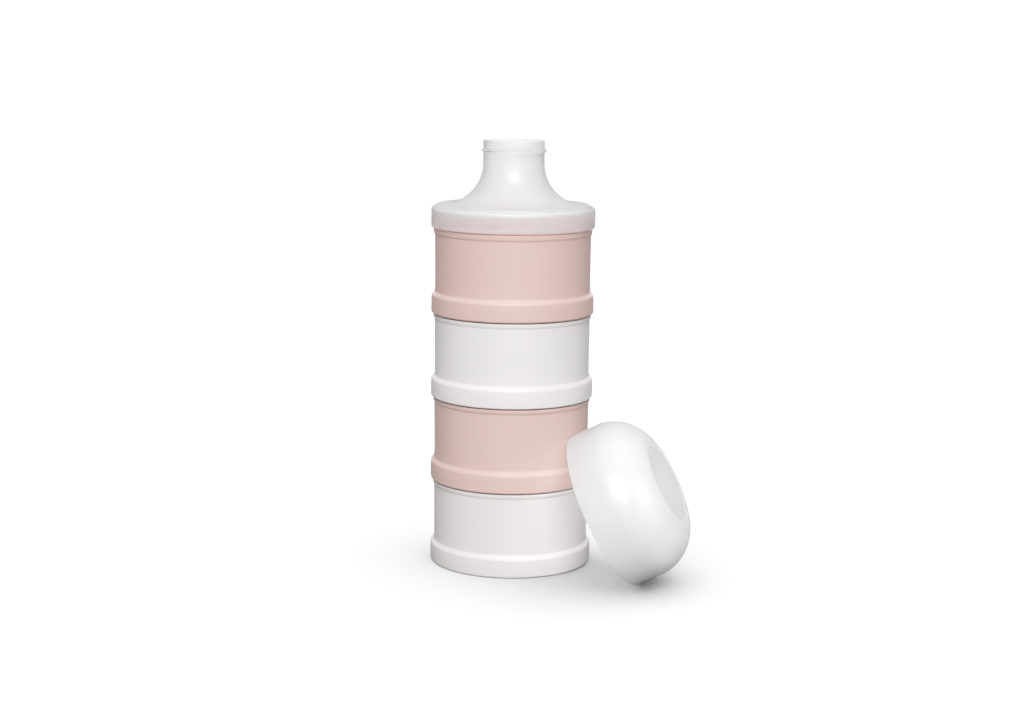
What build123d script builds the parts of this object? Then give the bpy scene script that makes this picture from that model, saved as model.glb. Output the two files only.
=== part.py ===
from build123d import *
import os
import math

# Stacking dispenser for milk powder: four screw-together cups, a screw-on
# funnel spout and a loose dome cap that leans on the stack with its rim on the
# table. Millimetres, +Z up, origin on the stack's axis at the table.

# ---- driving dimensions -------------------------------------------------
BAND_R = 40.0          # outer radius of the grip band round each cup's foot
BODY_R = 38.25         # outer radius of a cup's wall
PITCH = 41.5           # height that each screwed-on cup adds to the stack
RIDGE_R = 38.95        # stop ridge under the thread
RIDGE_Z = (39.2, 41.3)
NECK_R = 36.0          # threaded neck, outside
NECK_BORE_R = 34.5     # threaded neck, inside
NECK_TOP = 49.6
WALL_IN_R = 36.7       # inside radius of a cup
FLOOR_Z = (9.6, 11.2)  # underside and top of a cup's floor
SOCKET_R = 37.6        # inside of the skirt that takes the neck below
MOUTH_R = 38.1         # plain lead-in at the bottom of the skirt
MOUTH_H = 2.4

CUP_LEAD = 4.0         # cup thread: one start, right hand
CUP_CREST_R = 37.15    # male thread crest
CUP_ROOT_R = 36.45     # female thread crest
MALE_Z = 43.2          # middle of the male thread where it begins
MALE_TURN = 450.0
THREAD_START = -70.0   # angle where the male thread begins
FEMALE_TURN = 270.0
FLANK_GAP = 1.65       # the female thread sits this far under the male one

SEAL_R = (33.65, 37.45)  # sealing ring under each floor
SEAL_Z = (8.2, 9.5)

FUNNEL_Z = 166.8       # bottom edge of the funnel's skirt
FUNNEL_R = 40.15
LEDGE_Z = 176.9        # the cap's rim seats here
PLATE_R = 37.6
PLATE_Z = 178.0
FLARE_R = 20.0         # radius of the sweep from plate to spout
SPOUT_R = 15.0
SPOUT_BORE_R = 13.6
SPOUT_TOP = 209.1
FUNNEL_WALL = 1.4
SPOUT_LEAD = 6.0       # spout thread: two starts, right hand
SPOUT_CREST_R = 15.95
SPOUT_THREAD_Z = 202.35
SPOUT_THREAD_TURN = 262.0

CAP_R = 38.9
CAP_WALL = 1.15
CAP_STRAIGHT = 14.5    # height of the straight wall
CAP_H = 33.8           # rim to crest
CAP_CREST_R = 20.3     # radius where the dome meets the top disc
CAP_DISH = 0.35        # the disc lies this far under the crest
CAP_POWER = 1.114      # shape of the dome's quarter, 1 = ellipse
COLLAR_R = (16.5, 17.7)  # threaded collar inside the cap
COLLAR_H = 8.6
PLUG_R = (12.3, 13.3)  # plug ring that enters the spout
PLUG_H = 3.2

# where the cap leans: middle of its rim, and the way its crown points
CAP_X, CAP_Y = 45.8, -38.05
CAP_AZ, CAP_EL = -13.4, 27.5


# ---- helpers ------------------------------------------------------------
def outline(points):
    """Closed face in (radius, height) from corners (r, z[, fillet radius])."""
    n = len(points)
    ends = []
    for i, p in enumerate(points):
        x, z = p[0], p[1]
        rad = p[2] if len(p) > 2 else 0.0
        if rad <= 0:
            ends.append(((x, z), None, (x, z)))
            continue
        ax, az = points[i - 1][0] - x, points[i - 1][1] - z
        bx, bz = points[(i + 1) % n][0] - x, points[(i + 1) % n][1] - z
        la, lb = math.hypot(ax, az), math.hypot(bx, bz)
        ax, az, bx, bz = ax / la, az / la, bx / lb, bz / lb
        half = math.acos(max(-1.0, min(1.0, ax * bx + az * bz))) / 2
        t = rad / math.tan(half)
        mx, mz = ax + bx, az + bz
        lm = math.hypot(mx, mz)
        d = rad / math.sin(half) - rad
        ends.append(
            (
                (x + ax * t, z + az * t),
                (x + mx / lm * d, z + mz / lm * d),
                (x + bx * t, z + bz * t),
            )
        )
    edges = []
    for i in range(n):
        start, mid, end = ends[i]
        if mid is not None:
            edges.append(ThreePointArc(start, mid, end))
        nxt = ends[(i + 1) % n][0]
        if math.hypot(nxt[0] - end[0], nxt[1] - end[1]) > 1e-6:
            edges.append(Line(end, nxt))
    return make_face(edges)


def turned(points):
    """Solid of revolution about Z from an outline."""
    return revolve(Plane.XZ * outline(points), Axis.Z)


def bead(root_r, crest_r, base, crest, lead, turn, start_deg, z0):
    """Helical thread bead, right hand, trapezium section, root_r to crest_r."""
    mid_r = (root_r + crest_r) / 2
    path = Edge.make_helix(lead, lead * turn / 360.0, mid_r)
    a, b = root_r - mid_r, crest_r - mid_r
    sec = Plane(origin=path @ 0, x_dir=(1, 0, 0), z_dir=path % 0) * make_face(
        Polyline((a, -base / 2), (a, base / 2), (b, crest / 2), (b, -crest / 2), close=True)
    )
    body = sweep(sec, path=path, is_frenet=True)
    return Location((0, 0, z0), (0, 0, start_deg)) * body


def solid(shape):
    """The one solid of a result."""
    found = shape.solids()
    return found[0] if len(found) == 1 else Compound(children=list(found))


# ---- cup ----------------------------------------------------------------
def make_cup():
    cup = turned(
        [
            (MOUTH_R, 0.0),
            (BAND_R, 0.0, 1.0),
            (BAND_R, 5.5, 12.0),
            (BAND_R - 0.15, 9.1, 2.0),
            (BODY_R, 10.9, 1.3),
            (BODY_R + 0.05, RIDGE_Z[0] - 0.3, 0.3),
            (RIDGE_R - 0.05, RIDGE_Z[0] + 0.2, 0.3),
            (RIDGE_R, RIDGE_Z[1], 0.4),
            (NECK_R, RIDGE_Z[1], 0.4),
            (NECK_R, NECK_TOP, 0.5),
            (NECK_BORE_R, NECK_TOP, 0.5),
            (NECK_BORE_R, 42.3, 2.0),
            (WALL_IN_R, 38.8, 2.0),
            (WALL_IN_R, FLOOR_Z[1], 3.2),
            (0.0, FLOOR_Z[1]),
            (0.0, FLOOR_Z[0]),
            (32.4, FLOOR_Z[0]),
            (32.6, FLOOR_Z[0] - 0.9, 0.2),
            (33.4, FLOOR_Z[0] - 0.9, 0.2),
            (33.4, FLOOR_Z[0]),
            (SOCKET_R, FLOOR_Z[0], 0.0),
            (SOCKET_R, MOUTH_H + 0.3),
            (MOUTH_R, MOUTH_H),
        ]
    )
    male = bead(NECK_R - 0.25, CUP_CREST_R, 2.2, 0.9, CUP_LEAD, MALE_TURN, THREAD_START, MALE_Z)
    cup += male
    # the female thread follows the male thread of the cup below
    first = -20.0  # degrees past the male thread's beginning
    z_f = MALE_Z + CUP_LEAD * first / 360.0 - FLANK_GAP + CUP_LEAD - PITCH
    female = bead(SOCKET_R + 0.25, CUP_ROOT_R, 2.2, 0.9, CUP_LEAD, FEMALE_TURN, THREAD_START + first, z_f)
    cup += female
    return cup, female


cup, female = make_cup()


def make_seal():
    r0, r1 = SEAL_R
    z0, z1 = SEAL_Z
    return turned([(r0, z0, 0.3), (r1, z0, 0.3), (r1, z1, 0.25), (r0, z1, 0.25)])


seal = make_seal()

parts = {}
for i in range(4):
    lift = Location((0, 0, i * PITCH))
    parts[f"cup_{i + 1}"] = lift * cup
    parts[f"cup_{i + 1}_seal"] = lift * seal

# ---- funnel -------------------------------------------------------------
sock = FUNNEL_Z - 4 * PITCH          # the skirt starts this far above the pitch line
base = 4 * PITCH
in_flare = FLARE_R + FUNNEL_WALL
under = base + 9.65                  # underside of the plate over the seal
fr = SPOUT_R + FLARE_R               # centre of the flare arc, radius
fz = PLATE_Z + FLARE_R               # centre of the flare arc, height
groove_r = 33.5
groove_z = fz - math.sqrt(in_flare**2 - (fr - groove_r) ** 2)

outer = [
    Line((MOUTH_R, FUNNEL_Z), (FUNNEL_R - 0.6, FUNNEL_Z)),
    ThreePointArc((FUNNEL_R - 0.6, FUNNEL_Z), (FUNNEL_R - 0.6 + 0.6 * math.sin(math.pi / 4), FUNNEL_Z + 0.6 - 0.6 * math.cos(math.pi / 4)), (FUNNEL_R, FUNNEL_Z + 0.6)),
    Line((FUNNEL_R, FUNNEL_Z + 0.6), (FUNNEL_R, LEDGE_Z - 1.5)),
    ThreePointArc((FUNNEL_R, LEDGE_Z - 1.5), (FUNNEL_R - 1.5 + 1.5 * math.cos(math.pi / 4), LEDGE_Z - 1.5 + 1.5 * math.sin(math.pi / 4)), (FUNNEL_R - 1.5, LEDGE_Z)),
    Line((FUNNEL_R - 1.5, LEDGE_Z), (PLATE_R, LEDGE_Z)),
    Line((PLATE_R, LEDGE_Z), (PLATE_R, PLATE_Z - 0.35)),
    ThreePointArc((PLATE_R, PLATE_Z - 0.35), (PLATE_R - 0.35 + 0.35 * math.cos(math.pi / 4), PLATE_Z - 0.35 + 0.35 * math.sin(math.pi / 4)), (PLATE_R - 0.35, PLATE_Z)),
    Line((PLATE_R - 0.35, PLATE_Z), (fr, PLATE_Z)),
    ThreePointArc((fr, PLATE_Z), (fr - FLARE_R * math.sin(math.pi / 4), fz - FLARE_R * math.cos(math.pi / 4)), (SPOUT_R, fz)),
    Line((SPOUT_R, fz), (SPOUT_R, SPOUT_TOP - 0.6)),
    ThreePointArc((SPOUT_R, SPOUT_TOP - 0.6), (SPOUT_R - 0.6 + 0.6 * math.cos(math.pi / 4), SPOUT_TOP - 0.6 + 0.6 * math.sin(math.pi / 4)), (SPOUT_R - 0.6, SPOUT_TOP)),
    Line((SPOUT_R - 0.6, SPOUT_TOP), (SPOUT_BORE_R + 0.2, SPOUT_TOP)),
    Line((SPOUT_BORE_R + 0.2, SPOUT_TOP), (SPOUT_BORE_R, SPOUT_TOP - 0.2)),
    Line((SPOUT_BORE_R, SPOUT_TOP - 0.2), (SPOUT_BORE_R, fz)),
]
t0 = math.asin((fr - groove_r) / in_flare)
t1 = (math.pi / 2 + t0) / 2
outer += [
    ThreePointArc((SPOUT_BORE_R, fz), (fr - in_flare * math.sin(t1), fz - in_flare * math.cos(t1)), (groove_r, groove_z)),
    Line((groove_r, groove_z), (groove_r, under)),
    Line((groove_r, under), (SOCKET_R, under)),
    Line((SOCKET_R, under), (SOCKET_R, FUNNEL_Z + MOUTH_H - sock + 0.3)),
    Line((SOCKET_R, FUNNEL_Z + MOUTH_H - sock + 0.3), (MOUTH_R, FUNNEL_Z + MOUTH_H - sock)),
    Line((MOUTH_R, FUNNEL_Z + MOUTH_H - sock), (MOUTH_R, FUNNEL_Z)),
]
funnel = revolve(Plane.XZ * make_face(outer), Axis.Z)
funnel += Location((0, 0, base)) * female
for k in (0, 180):
    funnel += bead(SPOUT_R - 0.25, SPOUT_CREST_R, 1.7, 0.6, SPOUT_LEAD, SPOUT_THREAD_TURN, -100 + k, SPOUT_THREAD_Z)
parts["funnel"] = funnel
parts["funnel_seal"] = Location((0, 0, base)) * seal

# ---- cap, built crown up on its rim, then leaned ------------------------
def dome(crest_r, rim_r, h0, h1, power, n=24):
    """Points of the dome's quarter from the straight wall to the crest."""
    out = []
    for i in range(n + 1):
        a = math.pi / 2 * i / n
        out.append(
            (
                crest_r + (rim_r - crest_r) * math.cos(a) ** power,
                h0 + (h1 - h0) * math.sin(a) ** power,
            )
        )
    return out


skin = dome(CAP_CREST_R, CAP_R, CAP_STRAIGHT, CAP_H, CAP_POWER)
lining = dome(CAP_CREST_R - 0.2, CAP_R - CAP_WALL, CAP_STRAIGHT, CAP_H - CAP_WALL, CAP_POWER)
disc = CAP_H - CAP_DISH
ceiling = CAP_H - CAP_WALL
e = 0.35
cap_edges = [
    Line((CAP_R - CAP_WALL, e), (CAP_R - CAP_WALL + e, 0)),
    Line((CAP_R - CAP_WALL + e, 0), (CAP_R - e, 0)),
    ThreePointArc((CAP_R - e, 0), (CAP_R - e + e * math.sin(math.pi / 4), e - e * math.cos(math.pi / 4)), (CAP_R, e)),
    Line((CAP_R, e), skin[0]),
    Spline(*skin, tangents=[(0, 1), (-1, 0)]),
    Line(skin[-1], (CAP_CREST_R - 0.5, CAP_H)),
    Line((CAP_CREST_R - 0.5, CAP_H), (CAP_CREST_R - 1.2, disc)),
    Line((CAP_CREST_R - 1.2, disc), (0, disc)),
    Line((0, disc), (0, ceiling)),
    Line((0, ceiling), (PLUG_R[0], ceiling)),
    Line((PLUG_R[0], ceiling), (PLUG_R[0], ceiling - PLUG_H)),
    Line((PLUG_R[0], ceiling - PLUG_H), (PLUG_R[1] - 0.4, ceiling - PLUG_H)),
    Line((PLUG_R[1] - 0.4, ceiling - PLUG_H), (PLUG_R[1], ceiling - PLUG_H + 0.8)),
    Line((PLUG_R[1], ceiling - PLUG_H + 0.8), (PLUG_R[1], ceiling)),
    Line((PLUG_R[1], ceiling), (COLLAR_R[0], ceiling)),
    Line((COLLAR_R[0], ceiling), (COLLAR_R[0], ceiling - COLLAR_H)),
    Line((COLLAR_R[0], ceiling - COLLAR_H), (COLLAR_R[1], ceiling - COLLAR_H)),
    Line((COLLAR_R[1], ceiling - COLLAR_H), (COLLAR_R[1], ceiling)),
    Line((COLLAR_R[1], ceiling), lining[-1]),
    Spline(*lining[::-1], tangents=[(1, 0), (0, -1)]),
    Line(lining[0], (CAP_R - CAP_WALL, e)),
]
cap = revolve(Plane.XZ * make_face(cap_edges), Axis.Z)
for k in (0, 180):
    cap += bead(COLLAR_R[0] + 0.25, COLLAR_R[0] - 0.9, 1.7, 0.6, SPOUT_LEAD, 190.0, k, ceiling - COLLAR_H + 1.6)

el = math.radians(CAP_EL)
cap_z = (CAP_R - e) * math.cos(el) + e - e * math.sin(el)
lean = Plane(
    origin=(CAP_X, CAP_Y, cap_z),
    z_dir=(
        math.cos(el) * math.cos(math.radians(CAP_AZ)),
        math.cos(el) * math.sin(math.radians(CAP_AZ)),
        math.sin(el),
    ),
    x_dir=(-math.sin(math.radians(CAP_AZ)), math.cos(math.radians(CAP_AZ)), 0),
)
parts["dome_cap"] = lean.location * cap

# ---- write --------------------------------------------------------------
os.makedirs("parts", exist_ok=True)
for name, shape in parts.items():
    s = solid(shape)
    export_step(s, f"parts/{name}.step")
    b = s.bounding_box()
    print(
        name,
        f"{s.volume / 1000:.2f} cm3",
        [round(v, 2) for v in (b.min.X, b.min.Y, b.min.Z, b.max.X, b.max.Y, b.max.Z)],
    )
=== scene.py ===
import math

import bpy
import bmesh
import numpy as np
from mathutils import Matrix, Vector


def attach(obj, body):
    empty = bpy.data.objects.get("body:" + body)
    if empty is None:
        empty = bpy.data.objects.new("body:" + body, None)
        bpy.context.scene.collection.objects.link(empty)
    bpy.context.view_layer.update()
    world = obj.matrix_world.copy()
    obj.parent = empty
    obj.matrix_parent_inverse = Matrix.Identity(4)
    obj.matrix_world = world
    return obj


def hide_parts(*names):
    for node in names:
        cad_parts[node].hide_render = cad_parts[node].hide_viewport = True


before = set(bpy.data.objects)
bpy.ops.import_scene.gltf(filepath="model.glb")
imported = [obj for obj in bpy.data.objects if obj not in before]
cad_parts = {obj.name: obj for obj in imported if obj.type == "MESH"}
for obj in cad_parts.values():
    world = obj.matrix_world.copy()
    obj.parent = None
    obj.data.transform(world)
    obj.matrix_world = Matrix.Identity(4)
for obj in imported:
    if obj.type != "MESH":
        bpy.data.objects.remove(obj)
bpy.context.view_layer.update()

MM = 0.001
SEG = 192

# ---------------------------------------------------------------- sizes, mm
BAND_R, BODY_R, PITCH = 40.0, 38.25, 41.5
RIDGE_R, RIDGE_LOW, RIDGE_TOP = 38.95, 39.2, 41.1
NECK_R, NECK_BORE_R, NECK_TOP = 36.0, 34.5, 49.6
WALL_IN_R, FLOOR_LOW, FLOOR_TOP = 36.7, 9.6, 11.2
SOCKET_R, MOUTH_R, MOUTH_H = 37.6, 38.1, 2.4
CUP_LEAD, CUP_START, MALE_Z, MALE_TURN = 4.0, -70.0, 43.2, 450.0
FEM_FROM, FEM_TURN, FLANK_GAP = -20.0, 270.0, 1.65
FUNNEL_Z, FUNNEL_R, LEDGE_Z = 166.8, 40.15, 176.9
PLATE_R, PLATE_Z, FLARE_R, FUNNEL_WALL = 37.6, 178.0, 20.0, 1.4
SPOUT_R, SPOUT_BORE_R, SPOUT_TOP = 15.0, 13.6, 209.1
SPOUT_LEAD, SPOUT_THREAD_Z, SPOUT_TURN = 6.0, 202.35, 262.0
CAP_R, CAP_WALL, CAP_STRAIGHT, CAP_H = 38.9, 1.15, 14.5, 33.8
CAP_CREST_R, CAP_DISH, CAP_POWER = 20.3, 0.35, 1.114
COLLAR, COLLAR_H, PLUG, PLUG_H = (16.5, 17.7), 8.6, (12.3, 13.3), 3.2
CAP_X, CAP_Y, CAP_AZ, CAP_EL = 45.8, -38.05, -13.4, 27.5


# ------------------------------------------------------------ mesh building
def smooth01(t):
    t = np.clip(t, 0.0, 1.0)
    return t * t * (3 - 2 * t)


class Thread:
    """Helical bead raised from a wall: right hand, its ends fading out."""

    def __init__(self, wall_r, z_lo, z_hi, height, base, crest, lead, start, z0, turn, starts=1, fade=26.0):
        self.wall_r, self.z_lo, self.z_hi = wall_r, z_lo, z_hi
        self.height, self.base, self.crest = height, base, crest
        self.lead, self.start, self.z0, self.turn = lead, start, z0, turn
        self.starts, self.fade = starts, fade

    def holds(self, r, z):
        return abs(r - self.wall_r) < 0.02 and self.z_lo <= z <= self.z_hi

    def rise(self, z, deg):
        out = np.zeros_like(deg)
        for s in range(self.starts):
            first = np.mod(deg - self.start - s * 360.0 / self.starts, 360.0)
            for m in range(int(self.turn // 360) + 1):
                phi = first + 360.0 * m
                mid = self.z0 + self.lead * phi / 360.0
                d = np.abs(z - mid)
                side = 1 - smooth01((d - self.crest / 2) / ((self.base - self.crest) / 2))
                ends = smooth01(phi / self.fade) * smooth01((self.turn - phi) / self.fade)
                out = np.maximum(out, np.where(phi <= self.turn, side * ends, 0.0))
        return out * self.height


def corners(points, step_deg=11.0):
    """Corners (r, z[, fillet]) of a closed outline, with every fillet as an arc."""
    n, out = len(points), []
    for i, p in enumerate(points):
        x, z = p[0], p[1]
        rad = p[2] if len(p) > 2 else 0.0
        if rad <= 0:
            out.append((x, z))
            continue
        ax, az = points[i - 1][0] - x, points[i - 1][1] - z
        bx, bz = points[(i + 1) % n][0] - x, points[(i + 1) % n][1] - z
        la, lb = math.hypot(ax, az), math.hypot(bx, bz)
        ax, az, bx, bz = ax / la, az / la, bx / lb, bz / lb
        half = math.acos(max(-1.0, min(1.0, ax * bx + az * bz))) / 2
        t = rad / math.tan(half)
        mx, mz = ax + bx, az + bz
        lm = math.hypot(mx, mz)
        cx, cz = x + mx / lm * rad / math.sin(half), z + mz / lm * rad / math.sin(half)
        s = (x + ax * t, z + az * t)
        e = (x + bx * t, z + bz * t)
        a0, a1 = math.atan2(s[1] - cz, s[0] - cx), math.atan2(e[1] - cz, e[0] - cx)
        turn = (a1 - a0 + math.pi) % (2 * math.pi) - math.pi
        k = max(2, math.ceil(abs(math.degrees(turn)) / step_deg))
        out += [(cx + rad * math.cos(a0 + turn * j / k), cz + rad * math.sin(a0 + turn * j / k)) for j in range(k + 1)]
    return out


def divided(points, threads=(), row=0.16, hold=0.18, longest=6.0):
    """The outline with rows for the threads, and close rows at both ends of each long run so that it shades flat."""
    out, n = [], len(points)
    for i, a in enumerate(points):
        b = points[(i + 1) % n]
        out.append(a)
        ln = math.hypot(b[0] - a[0], b[1] - a[1])
        if a[0] < 1e-9 and b[0] < 1e-9:
            continue
        th = [t for t in threads if abs(a[0] - t.wall_r) < 0.02 and abs(b[0] - t.wall_r) < 0.02 and min(a[1], b[1]) < t.z_hi and max(a[1], b[1]) > t.z_lo]
        if th:
            k = max(2, math.ceil(ln / row))
            out += [(a[0] + (b[0] - a[0]) * j / k, a[1] + (b[1] - a[1]) * j / k) for j in range(1, k)]
        elif ln > 1.0:
            f = hold / ln
            stops = [f]
            k = math.ceil(ln / longest)
            stops += [j / k for j in range(1, k)]
            stops.append(1 - f)
            out += [(a[0] + (b[0] - a[0]) * s, a[1] + (b[1] - a[1]) * s) for s in stops]
    return out


def lathe(name, points, threads=(), seg=SEG, place=None):
    """Closed mesh turned about Z from an outline in mm, with its threads raised."""
    deg = np.arange(seg) * 360.0 / seg
    cos, sin = np.cos(np.radians(deg)), np.sin(np.radians(deg))
    verts, rings = [], []
    for r, z in points:
        if r < 1e-9:
            rings.append([len(verts)])
            verts.append((0.0, 0.0, z))
            continue
        rr = np.full(seg, r)
        for t in threads:
            if t.holds(r, z):
                rr = rr + t.rise(z, deg)
        rings.append(list(range(len(verts), len(verts) + seg)))
        verts += list(zip(rr * cos, rr * sin, np.full(seg, z)))
    faces, n = [], len(rings)
    for i in range(n):
        a, b = rings[i], rings[(i + 1) % n]
        if len(a) == 1 and len(b) == 1:
            continue
        for j in range(seg):
            k = (j + 1) % seg
            if len(a) == 1:
                faces.append((a[0], b[k], b[j]))
            elif len(b) == 1:
                faces.append((a[j], a[k], b[0]))
            else:
                faces.append((a[j], a[k], b[k], b[j]))
    v = np.array(verts) * MM
    me = bpy.data.meshes.new(name)
    me.from_pydata([tuple(p) for p in v], [], faces)
    bm = bmesh.new()
    bm.from_mesh(me)
    bmesh.ops.recalc_face_normals(bm, faces=bm.faces)
    bm.to_mesh(me)
    bm.free()
    if place is not None:
        me.transform(place)
    me.shade_smooth()
    me.set_sharp_from_angle(angle=math.radians(38))
    me.update()
    ob = bpy.data.objects.new(name, me)
    bpy.context.scene.collection.objects.link(ob)
    return ob


# ---------------------------------------------------------------- materials
def nodes_of(name):
    mat = bpy.data.materials.new(name)
    mat.use_nodes = True
    nt = mat.node_tree
    nt.nodes.clear()
    out = nt.nodes.new("ShaderNodeOutputMaterial")
    p = nt.nodes.new("ShaderNodeBsdfPrincipled")
    nt.links.new(p.outputs[0], out.inputs[0])
    return mat, nt, p


def add(nt, kind, **values):
    n = nt.nodes.new(kind)
    for k, v in values.items():
        if k in n.inputs:
            n.inputs[k].default_value = v
        else:
            setattr(n, k, v)
    return n


def noise(nt, coords, scale, detail=3.0, rough=0.5, stretch=None):
    source = coords
    if stretch:
        m = add(nt, "ShaderNodeMapping")
        m.inputs["Scale"].default_value = stretch
        nt.links.new(coords, m.inputs["Vector"])
        source = m.outputs[0]
    n = add(nt, "ShaderNodeTexNoise", Scale=scale, Detail=detail, Roughness=rough)
    nt.links.new(source, n.inputs["Vector"])
    return n.outputs[0]


def ranged(nt, value, lo, hi, from_lo=0.3, from_hi=0.7):
    m = add(nt, "ShaderNodeMapRange")
    m.inputs["From Min"].default_value, m.inputs["From Max"].default_value = from_lo, from_hi
    m.inputs["To Min"].default_value, m.inputs["To Max"].default_value = lo, hi
    nt.links.new(value, m.inputs["Value"])
    return m.outputs[0]


def tinted(nt, fac, a, b):
    m = nt.nodes.new("ShaderNodeMix")
    m.data_type = "RGBA"
    m.inputs[6].default_value = (*a, 1)
    m.inputs[7].default_value = (*b, 1)
    nt.links.new(fac, m.inputs[0])
    return m.outputs[2]


def plastic(name, colour, rough=(0.40, 0.47), subsurface=0.25, radius=(1.0, 0.6, 0.5), transmission=0.0, ior=1.49, grain=0.10, specular=0.5, depth=0.003, layer=None):
    """Moulded polypropylene: faint flow marks in the colour, uneven satin gloss and a fine tool texture."""
    mat, nt, p = nodes_of(name)
    at = nt.nodes.new("ShaderNodeTexCoord").outputs["Object"]
    flow = noise(nt, at, 26.0, 4.0, 0.55, stretch=(1.0, 1.0, 0.25))
    cloud = noise(nt, at, 60.0, 2.0)
    dark = tuple(c * 0.972 for c in colour)
    light = tuple(min(1.0, c * 1.012) for c in colour)
    hue = tinted(nt, ranged(nt, flow, 0.0, 1.0), dark, light)
    nt.links.new(layer(nt, at, hue) if layer else hue, p.inputs["Base Color"])
    nt.links.new(ranged(nt, cloud, *rough), p.inputs["Roughness"])
    fine = noise(nt, at, 2600.0, 2.0, 0.6)
    waves = noise(nt, at, 90.0, 2.0)
    b1 = add(nt, "ShaderNodeBump", Strength=grain, Distance=0.00006)
    nt.links.new(fine, b1.inputs["Height"])
    b2 = add(nt, "ShaderNodeBump", Strength=0.05, Distance=0.0004)
    nt.links.new(waves, b2.inputs["Height"])
    nt.links.new(b1.outputs[0], b2.inputs["Normal"])
    nt.links.new(b2.outputs[0], p.inputs["Normal"])
    p.inputs["IOR"].default_value = ior
    p.inputs["Specular IOR Level"].default_value = specular
    p.inputs["Subsurface Weight"].default_value = subsurface
    p.inputs["Subsurface Radius"].default_value = radius
    p.inputs["Subsurface Scale"].default_value = depth
    p.inputs["Transmission Weight"].default_value = transmission
    return mat


def maths(nt, kind, a, b=None):
    m = add(nt, "ShaderNodeMath", operation=kind)
    for k, v in enumerate((a, b)):
        if isinstance(v, (int, float)):
            m.inputs[k].default_value = v
        elif v is not None:
            nt.links.new(v, m.inputs[k])
    return m.outputs[0]


def step(nt, value, a, b):
    m = add(nt, "ShaderNodeMapRange", interpolation_type="SMOOTHSTEP")
    m.inputs["From Min"].default_value, m.inputs["From Max"].default_value = a, b
    nt.links.new(value, m.inputs["Value"])
    return m.outputs[0]


def times(nt, fac, a, b):
    """Colour a multiplied by colour b as far as fac says."""
    m = nt.nodes.new("ShaderNodeMix")
    m.data_type, m.blend_type = "RGBA", "MULTIPLY"
    m.inputs[7].default_value = (*b, 1)
    nt.links.new(a, m.inputs[6])
    nt.links.new(fac, m.inputs[0])
    return m.outputs[2]


def fine_lines(nt, x, y, z, lead, spacing, lo, hi):
    """Lines that climb as a thread does, between two heights."""
    per_turn = round(lead / spacing)
    turns = maths(nt, "SUBTRACT", maths(nt, "MULTIPLY", z, 2 * math.pi * per_turn / (lead * MM)), maths(nt, "MULTIPLY", maths(nt, "ARCTAN2", y, x), float(per_turn)))
    wave = maths(nt, "MULTIPLY_ADD", maths(nt, "SINE", turns), 0.5)
    wave.node.inputs[2].default_value = 0.5
    zone = maths(nt, "MULTIPLY", step(nt, z, lo, lo + 0.0012), step(nt, z, hi, hi - 0.0010))
    return maths(nt, "MULTIPLY", wave, zone)


def painted_see_through(nt, at, hue):
    """Painted see-through shade: fine painted shade lines where the threads show through the frosted skirt and spout,
    and a painted pink tint where the cup's neck shows through the skirt's lower half.
    """
    xyz = nt.nodes.new("ShaderNodeSeparateXYZ")
    nt.links.new(at, xyz.inputs[0])
    x, y, z = xyz.outputs
    r = maths(nt, "SQRT", maths(nt, "ADD", maths(nt, "MULTIPLY", x, x), maths(nt, "MULTIPLY", y, y)))
    wall = step(nt, r, 0.0368, 0.0374)
    # mask of the skirt's lower half, where the pink of the cup's neck is painted in as if seen through the wall
    low = maths(nt, "MULTIPLY", step(nt, z, 0.1762, 0.1680), wall)
    patchy = ranged(nt, noise(nt, at, 45.0, 2.0, stretch=(1.0, 1.0, 3.0)), 0.35, 1.0)
    # painted shade lines of the female thread showing through the skirt, patchy in strength; below them the same for
    # the spout's thread
    skirt = maths(nt, "MULTIPLY", maths(nt, "MULTIPLY", fine_lines(nt, x, y, z, CUP_LEAD, 1.34, 0.1682, 0.1762), patchy), wall)
    spout = maths(nt, "MULTIPLY", fine_lines(nt, x, y, z, SPOUT_LEAD, 1.5, 0.1990, 0.2092), patchy)
    # painted pink tint of the cup's neck seen through the skirt, then painted thread shade lines on skirt and spout
    hue = times(nt, low, hue, (0.985, 0.90, 0.89))
    hue = times(nt, skirt, hue, (0.89, 0.84, 0.84))
    return times(nt, spout, hue, (0.86, 0.86, 0.865))


blush = plastic("blush_plastic", (0.685, 0.483, 0.437))
white = plastic("white_plastic", (0.81, 0.775, 0.767), radius=(1.0, 0.9, 0.85))
ivory = plastic("ivory_plastic", (0.79, 0.745, 0.735), radius=(1.0, 0.9, 0.8))
# the frosted funnel's colour carries the painted see-through thread shade lines and the painted pink tint
frosted = plastic("frosted_plastic", (0.975, 0.972, 0.975), rough=(0.33, 0.39), subsurface=0.4, radius=(1.0, 1.0, 1.0), transmission=0.64, depth=0.004, layer=painted_see_through)
frosted_thin = plastic("frosted_plastic_thin", (0.975, 0.977, 0.985), rough=(0.30, 0.36), subsurface=0.4, radius=(1.0, 1.0, 1.0), transmission=0.68, specular=0.3, depth=0.004)
silicone = plastic("seal_silicone", (0.82, 0.82, 0.80), rough=(0.5, 0.6), subsurface=0.5, radius=(1.0, 1.0, 0.9), specular=0.35)


def dress(ob, mat, body, node):
    ob.data.materials.append(mat)
    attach(ob, body)
    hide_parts(node)
    return ob


# --------------------------------------------------------------------- cups
def female_thread(base=0.0):
    return Thread(
        SOCKET_R, base + MOUTH_H + 0.3, base + FLOOR_LOW - 1.6, -1.15, 2.1, 0.9, CUP_LEAD,
        CUP_START + FEM_FROM, base + MALE_Z + CUP_LEAD * FEM_FROM / 360.0 - FLANK_GAP + CUP_LEAD - PITCH, FEM_TURN,
    )


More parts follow.
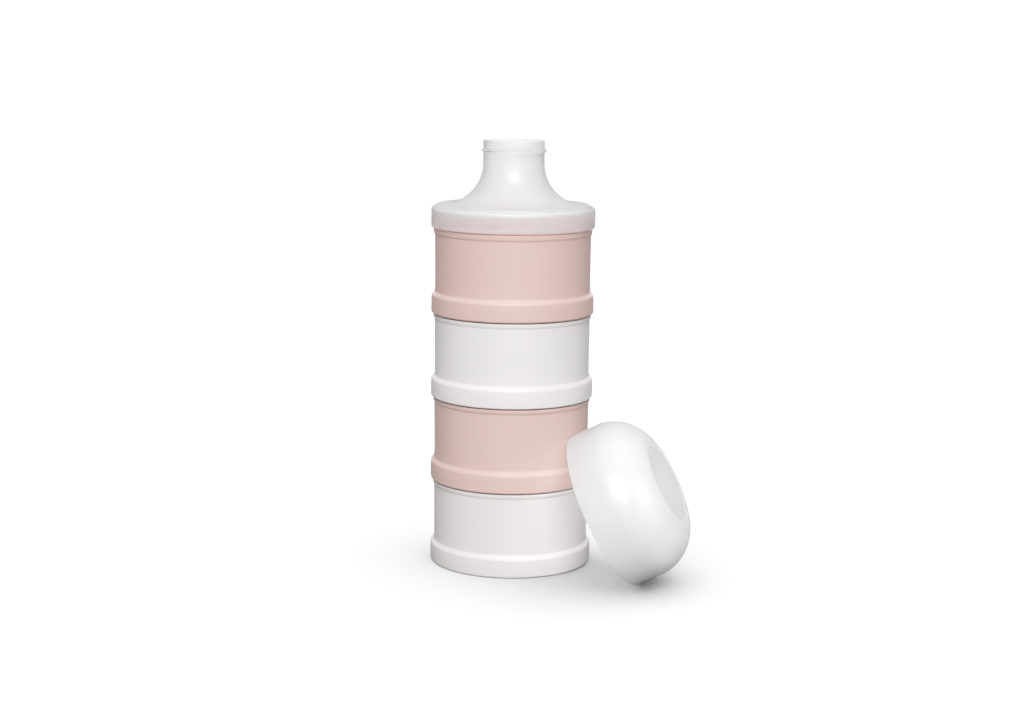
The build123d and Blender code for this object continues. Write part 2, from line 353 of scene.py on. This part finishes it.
def cup(i, mat, body):
    top = RIDGE_TOP + (0.65 if i == 4 else 0.0)
    foot = 0.2 if i > 1 else 0.0
    male = Thread(NECK_R, RIDGE_TOP, NECK_TOP, 1.15, 2.1, 0.9, CUP_LEAD, CUP_START, MALE_Z, MALE_TURN)
    fem = female_thread()
    outline = corners([
        (MOUTH_R, foot, 0.15),
        (BAND_R, foot, 0.9),
        (BAND_R, 5.5, 12.0),
        (BAND_R - 0.15, 9.1, 2.0),
        (BODY_R, 10.9, 1.3),
        (BODY_R - 0.1, 17.0, 60.0),
        (BODY_R + 0.05, RIDGE_LOW - 0.6, 0.6),
        (RIDGE_R - 0.1, RIDGE_LOW + 0.4, 0.6),
        (RIDGE_R, top, 0.35),
        (NECK_R, top, 0.3),
        (NECK_R, NECK_TOP, 0.5),
        (NECK_BORE_R, NECK_TOP, 0.5),
        (NECK_BORE_R, 42.3, 2.0),
        (WALL_IN_R, 38.8, 2.0),
        (WALL_IN_R, FLOOR_TOP, 3.2),
        (6.0, FLOOR_TOP, 1.0),
        (0.0, FLOOR_TOP - 0.15),
        (0.0, FLOOR_LOW + 0.3),
        (1.6, FLOOR_LOW + 0.3, 0.3),
        (2.6, FLOOR_LOW, 0.3),
        (32.4, FLOOR_LOW, 0.2),
        (32.6, FLOOR_LOW - 0.9, 0.2),
        (33.4, FLOOR_LOW - 0.9, 0.2),
        (33.4, FLOOR_LOW, 0.2),
        (SOCKET_R, FLOOR_LOW, 0.25),
        (SOCKET_R, MOUTH_H + 0.3, 0.2),
        (MOUTH_R, MOUTH_H, 0.2),
    ])
    ob = lathe(f"cup_{i}_shell", divided(outline, (male, fem)), (male, fem), place=Matrix.Translation((0, 0, (i - 1) * PITCH * MM)))
    return dress(ob, mat, body, f"cup_{i}")


def ring(name, base, body, node):
    outline = corners([
        (33.65, base + 8.2, 0.45), (35.2, base + 8.2, 0.2), (35.5, base + 8.45, 0.2), (35.8, base + 8.2, 0.2),
        (37.45, base + 8.2, 0.45), (37.45, base + 9.5, 0.3), (33.65, base + 9.5, 0.3),
    ])
    ob = lathe(name, divided(outline))
    return dress(ob, silicone, body, node)


bodies = {1: "base_cup", 2: "cup_2_body", 3: "cup_3_body", 4: "cup_4_body"}
cups = []
for i, (mat, slot) in enumerate(((ivory, "ivory_plastic"), (blush, "blush_plastic"), (white, "white_plastic"), (blush, "blush_plastic")), 1):
    cups.append(cup(i, mat, bodies[i]))
    ring(f"cup_{i}_ring", (i - 1) * PITCH, "base_cup" if i == 1 else f"ring_cup_{i}", f"cup_{i}_seal")
ring("funnel_ring", 4 * PITCH, "ring_funnel", "funnel_seal")


# ------------------------------------------------------------------- funnel
def arc(cx, cz, rad, a0, a1, step=4.0):
    k = max(2, math.ceil(abs(a1 - a0) / step))
    return [(cx + rad * math.cos(math.radians(a0 + (a1 - a0) * j / k)), cz + rad * math.sin(math.radians(a0 + (a1 - a0) * j / k))) for j in range(k + 1)]


def funnel():
    base = 4 * PITCH
    fr, fz, rin = SPOUT_R + FLARE_R, PLATE_Z + FLARE_R, FLARE_R + FUNNEL_WALL
    under, groove_r = base + 9.65, 33.5
    a_g = math.degrees(math.atan2(-math.sqrt(rin**2 - (fr - groove_r) ** 2), groove_r - fr)) % 360
    # socket, skirt, ledge and plate, up to where the flare begins
    low = corners([
        (fr, under + 2.0),
        (groove_r, under + 0.5),
        (groove_r, under, 0.2),
        (SOCKET_R, under, 0.3),
        (SOCKET_R, FUNNEL_Z + MOUTH_H, 0.2),
        (MOUTH_R, FUNNEL_Z + MOUTH_H - 0.3, 0.2),
        (MOUTH_R, FUNNEL_Z, 0.15),
        (FUNNEL_R, FUNNEL_Z, 0.6),
        (FUNNEL_R, LEDGE_Z, 1.5),
        (PLATE_R, LEDGE_Z, 0.15),
        (PLATE_R, PLATE_Z, 0.35),
        (fr, PLATE_Z),
    ])[2:]
    flare_out = arc(fr, fz, FLARE_R, 270, 180)
    lip = corners([
        (SPOUT_R, fz + 1.0),
        (SPOUT_R, SPOUT_TOP, 0.6),
        (SPOUT_BORE_R, SPOUT_TOP, 0.45),
        (SPOUT_BORE_R, fz + 1.0),
    ])
    flare_in = arc(fr, fz, rin, 180, a_g)
    fem = female_thread(base)
    fem.z_lo = FUNNEL_Z + MOUTH_H
    spout = Thread(SPOUT_R, fz + 0.5, SPOUT_TOP - 0.6, 0.95, 1.6, 0.6, SPOUT_LEAD, -100.0, SPOUT_THREAD_Z, SPOUT_TURN, starts=2, fade=34.0)
    outline = [*low, *flare_out[1:], *lip, *flare_in]
    ob = lathe("funnel_shell", divided(outline, (fem, spout), row=0.14), (fem, spout))
    return dress(ob, frosted, "funnel_body", "funnel")


funnel()


# ---------------------------------------------------------------------- cap
def dome(crest_r, rim_r, h0, h1, n=40):
    out = []
    for i in range(n + 1):
        a = math.pi / 2 * (i / n)
        out.append((crest_r + (rim_r - crest_r) * math.cos(a) ** CAP_POWER, h0 + (h1 - h0) * math.sin(a) ** CAP_POWER))
    return out


def cap():
    disc, ceiling = CAP_H - CAP_DISH, CAP_H - CAP_WALL
    inner_r = CAP_R - CAP_WALL
    rim = corners([(inner_r, 6.0), (inner_r, 0.0, 0.3), (CAP_R, 0.0, 0.35), (CAP_R, 6.0)])
    skin = dome(CAP_CREST_R, CAP_R, CAP_STRAIGHT, CAP_H)
    lining = dome(CAP_CREST_R - 0.2, inner_r, CAP_STRAIGHT, ceiling)[::-1]
    top = corners([
        skin[-1],
        (CAP_CREST_R - 0.5, CAP_H, 0.3),
        (CAP_CREST_R - 1.2, disc, 0.5),
        (0.0, disc),
    ])
    inside = corners([
        (0.0, ceiling),
        (PLUG[0], ceiling, 0.4),
        (PLUG[0], ceiling - PLUG_H, 0.2),
        (PLUG[1] - 0.4, ceiling - PLUG_H, 0.25),
        (PLUG[1], ceiling - PLUG_H + 0.8, 0.3),
        (PLUG[1], ceiling, 0.3),
        (COLLAR[0], ceiling, 0.3),
        (COLLAR[0], ceiling - COLLAR_H, 0.25),
        (COLLAR[1], ceiling - COLLAR_H, 0.25),
        (COLLAR[1], ceiling, 0.4),
        lining[0],
    ])
    collar = Thread(COLLAR[0], ceiling - COLLAR_H + 0.3, ceiling - 0.5, -0.9, 1.6, 0.6, SPOUT_LEAD, 0.0, ceiling - COLLAR_H + 1.6, 190.0, starts=2)
    outline = [*rim, *skin, *top[1:], *inside, *lining[1:]]
    el, az, e = math.radians(CAP_EL), math.radians(CAP_AZ), 0.35
    z = (CAP_R - e) * math.cos(el) + e - e * math.sin(el)
    up = Vector((math.cos(el) * math.cos(az), math.cos(el) * math.sin(az), math.sin(el)))
    across = Vector((-math.sin(az), math.cos(az), 0))
    m = Matrix((across, up.cross(across), up)).transposed().to_4x4()
    m.translation = Vector((CAP_X, CAP_Y, z)) * MM
    ob = lathe("cap_shell", divided(outline, (collar,), row=0.14), (collar,), place=m)
    return dress(ob, frosted_thin, "cap", "dome_cap")


loose_cap = cap()

# -------------------------------------------------------------------- stage
# how bright the floor and the white tent are to each kind of ray; the camera sees them nearly burnt out
FLOOR = {"mirrored": 0.13, "Is Diffuse Ray": 0.13, "Is Transmission Ray": 0.24, "Is Camera Ray": 0.36}
TENT = {"mirrored": 0.6, "Is Diffuse Ray": 0.11, "Is Transmission Ray": 1.58, "Is Camera Ray": 1.6}


def by_ray(nt, levels):
    """One value, chosen by the kind of ray that asks for it."""
    rays = nt.nodes.new("ShaderNodeLightPath").outputs
    last = None
    for kind, level in levels.items():
        if last is None:
            last = level
            continue
        m = nt.nodes.new("ShaderNodeMapRange")
        m.inputs["To Max"].default_value = level
        if isinstance(last, float):
            m.inputs["To Min"].default_value = last
        else:
            nt.links.new(last, m.inputs["To Min"])
        nt.links.new(rays[kind], m.inputs["Value"])
        last = m.outputs[0]
    return last


def floor_disc(radius=0.5, n=96):
    """Round sheet of pale paper; past its edge the tent is as bright as it is."""
    v = [(radius * math.cos(2 * math.pi * i / n), radius * math.sin(2 * math.pi * i / n), 0.0) for i in range(n)]
    me = bpy.data.meshes.new("studio_floor")
    me.from_pydata(v, [], [tuple(range(n))])
    ob = bpy.data.objects.new("studio_floor", me)
    bpy.context.scene.collection.objects.link(ob)
    mat, nt, p = nodes_of("studio_paper")
    nt.links.new(by_ray(nt, FLOOR), p.inputs["Base Color"])
    p.inputs["Roughness"].default_value = 0.95
    p.inputs["Specular IOR Level"].default_value = 0.0
    ob.data.materials.append(mat)
    return ob


floor = floor_disc()


def area(name, at, look, size, power, colour=(1, 1, 1)):
    li = bpy.data.lights.new(name, "AREA")
    li.shape = "RECTANGLE"
    li.size, li.size_y = size
    li.energy = power
    li.color = colour
    ob = bpy.data.objects.new(name, li)
    ob.location = at
    ob.rotation_mode = "QUATERNION"
    ob.rotation_quaternion = (Vector(look) - Vector(at)).to_track_quat("-Z", "Y")
    bpy.context.scene.collection.objects.link(ob)
    return ob


overhead = area("overhead", (0.0, 0.1, 1.5), (0.0, 0.05, 0.0), (1.8, 1.6), 18.0)
front = area("front", (0.0, -1.45, 1.05), (0.0, 0.0, 0.12), (1.1, 0.9), 38.0)
canopy = area("canopy", (0.0, 0.0, 1.7), (0.0, 0.0, 0.0), (6.0, 6.0), 600.0)


def shines(light, *obs, state="INCLUDE"):
    """The light falls on these objects alone, or on all the others."""
    group = bpy.data.collections.new(f"{light.name}_on")
    for ob in obs:
        group.objects.link(ob)
    for member in group.collection_objects:
        member.light_linking.link_state = state
    light.light_linking.receiver_collection = group


# the floor has a wide canopy of its own, so that the shadows there lie close in under the object
shines(overhead, floor, state="EXCLUDE")
shines(front, floor, state="EXCLUDE")
shines(canopy, floor)

# a card beside the cap brightens the side that it turns away from the front light
card = area("card", (0.42, -0.22, 0.22), (0.06, -0.05, 0.03), (0.3, 0.3), 1.6)
shines(card, loose_cap)

# the cups' far side has a soft light of its own, so that they keep their colours all round
rear = area("rear", (0.0, 1.45, 0.75), (0.0, 0.0, 0.10), (1.4, 1.0), 24.0)
shines(rear, *cups)

world = bpy.data.worlds.new("studio")
bpy.context.scene.world = world
world.use_nodes = True
wt = world.node_tree
back = wt.nodes["Background"]
wt.links.new(by_ray(wt, TENT), back.inputs[1])
back.inputs[0].default_value = (1, 1, 1, 1)

view = bpy.context.scene.view_settings
view.view_transform = "Standard"
view.look = "None"
view.exposure = 0.0
view.gamma = 1.0
# a soft shoulder in the highlights, as a camera has
view.use_curve_mapping = True
curve = view.curve_mapping
curve.white_level = (1.35, 1.35, 1.35)
tone = curve.curves[3]
for x, y in ((0.296, 0.40), (0.519, 0.645), (0.741, 0.825)):
    tone.points.new(x, y)
curve.update()

# ------------------------------------------------------------------- camera
cam = bpy.data.objects.new("camera", bpy.data.cameras.new("camera"))
bpy.context.scene.collection.objects.link(cam)
cam.data.sensor_width = 36.0
cam.data.lens = 1852.3 / 1024 * 36.0
pitch, roll = math.radians(9.52), math.radians(0.604)
ahead = Vector((0, math.cos(pitch), -math.sin(pitch)))
right = Vector((1, 0, 0))
upw = Vector((0, math.sin(pitch), math.cos(pitch)))
cx = right * math.cos(roll) + upw * math.sin(roll)
cy = upw * math.cos(roll) - right * math.sin(roll)
m = Matrix((cx, cy, -ahead)).transposed().to_4x4()
m.translation = Vector((0.00008, -0.9057, 0.2547))
cam.matrix_world = m
cam.data.clip_start, cam.data.clip_end = 0.05, 20
bpy.context.scene.camera = cam
